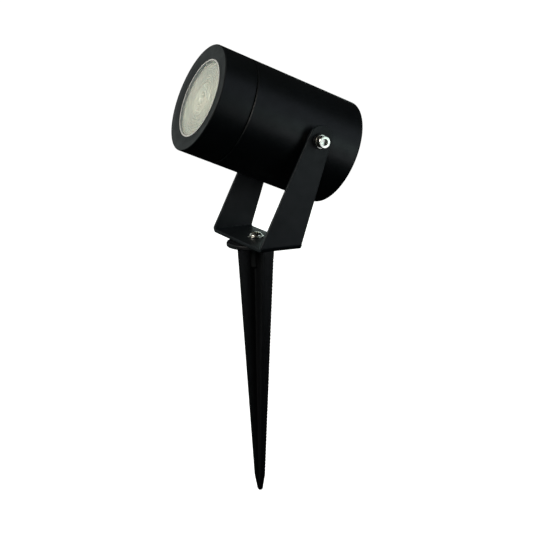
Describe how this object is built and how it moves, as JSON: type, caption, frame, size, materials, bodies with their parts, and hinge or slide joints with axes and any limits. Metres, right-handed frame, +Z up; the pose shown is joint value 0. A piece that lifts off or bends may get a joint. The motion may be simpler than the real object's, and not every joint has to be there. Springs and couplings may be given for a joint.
{
  "type": "garden spike spotlight",
  "caption": "Black garden spotlight on a ground spike: round head with glass front and bezel ring, tilting in a sheet-metal yoke.",
  "frame": {"origin": "on the spike's axis at ground level, the underside plane of the spike's flange", "axes": "+Z up along the spike, the lamp shines towards -Y and upwards, X along the tilt axis with +X on the lamp's own left"},
  "size_m": [0.085, 0.1085, 0.2713],
  "materials": {
    "coated_aluminium": "satin black powder coat",
    "coated_steel": "satin black powder coat",
    "spike_nylon": "moulded, fine matt grain",
    "gland_nylon": "moulded, matt",
    "black_rubber": "matt",
    "stainless": "turned, bright",
    "zinc_steel": "zinc plated",
    "brass": "turned",
    "glass": "clear, polished",
    "optic": "moulded acrylic with fine rings",
    "lamp_plastic": "moulded, satin",
    "ceramic": "pressed steatite, unglazed",
    "natural_nylon": "moulded, satin",
    "board": "white solder mask",
    "silicone_white": "moulded, pale, matt",
    "silicone_brown": "matt",
    "silicone_blue": "matt",
    "silicone_green": "matt, one yellow stripe"
  },
  "bodies": {
    "spike": {"ground_spike": "spike_nylon", "threaded_insert": "brass", "base_screw": "stainless", "base_washer": "stainless"},
    "bracket": {"yoke": "coated_steel"},
    "head": {"housing": "coated_aluminium", "pivot_screw_left": "stainless", "pivot_screw_right": "stainless", "pivot_spring_washer_left": "stainless", "pivot_spring_washer_right": "stainless", "pivot_flat_washer_left": "gland_nylon", "pivot_flat_washer_right": "gland_nylon", "pivot_spacer_left": "natural_nylon", "pivot_spacer_right": "natural_nylon", "bezel_o_ring": "black_rubber", "gland_body": "gland_nylon", "gland_dome_nut": "gland_nylon", "gland_lock_nut": "gland_nylon", "gland_seal": "black_rubber", "gland_sealing_ring": "black_rubber", "lamp_holder": "ceramic", "holder_contact_left": "brass", "holder_contact_right": "brass", "holder_bracket": "zinc_steel", "bracket_screw_left": "zinc_steel", "bracket_screw_right": "zinc_steel", "holder_screw_upper": "zinc_steel", "holder_screw_lower": "zinc_steel", "terminal_block": "natural_nylon", "terminal_screw": "zinc_steel", "terminal_clamp_live": "brass", "terminal_clamp_neutral": "brass", "terminal_clamp_earth": "brass", "lead_live": "silicone_brown", "lead_neutral": "silicone_blue", "lead_earth": "silicone_green", "earth_tag": "zinc_steel", "earth_screw": "zinc_steel"},
    "lamp": {"lamp_shell": "lamp_plastic", "lamp_optic": "optic", "led_board": "board", "lamp_base": "lamp_plastic", "lamp_pin_left": "zinc_steel", "lamp_pin_right": "zinc_steel"},
    "glass_carrier": {"front_glass": "glass", "glass_gasket": "silicone_white"},
    "bezel": {"front_bezel": "coated_aluminium"}
  },
  "joints": [
    {"name": "bracket_swivel", "type": "hinge", "parent": "spike", "child": "bracket", "pos_m": [0, 0, 0.0042], "axis": [0, 0, 1], "continuous": true},
    {"name": "head_tilt", "type": "hinge", "parent": "bracket", "child": "head", "pos_m": [0, 0.0242, 0.0642], "axis": [-1, 0, 0], "range_deg": [-52, 157]},
    {"name": "glass_travel", "type": "slide", "parent": "head", "child": "glass_carrier", "axis": [0, -0.9205, 0.3907], "range_m": [0, 0.0075]},
    {"name": "bezel_unscrew", "type": "hinge", "parent": "glass_carrier", "child": "bezel", "pos_m": [0, 0.0242, 0.0642], "axis": [0, -0.9205, 0.3907], "range_deg": [0, 1800]},
    {"name": "lamp_twist", "type": "hinge", "parent": "head", "child": "lamp", "pos_m": [0, 0.0242, 0.0642], "axis": [0, -0.9205, 0.3907], "range_deg": [0, 20]}
  ],
  "couplings": [
    {"joint": "glass_travel", "follows": "bezel_unscrew", "m_per_rad": 0.00023873}
  ]
}
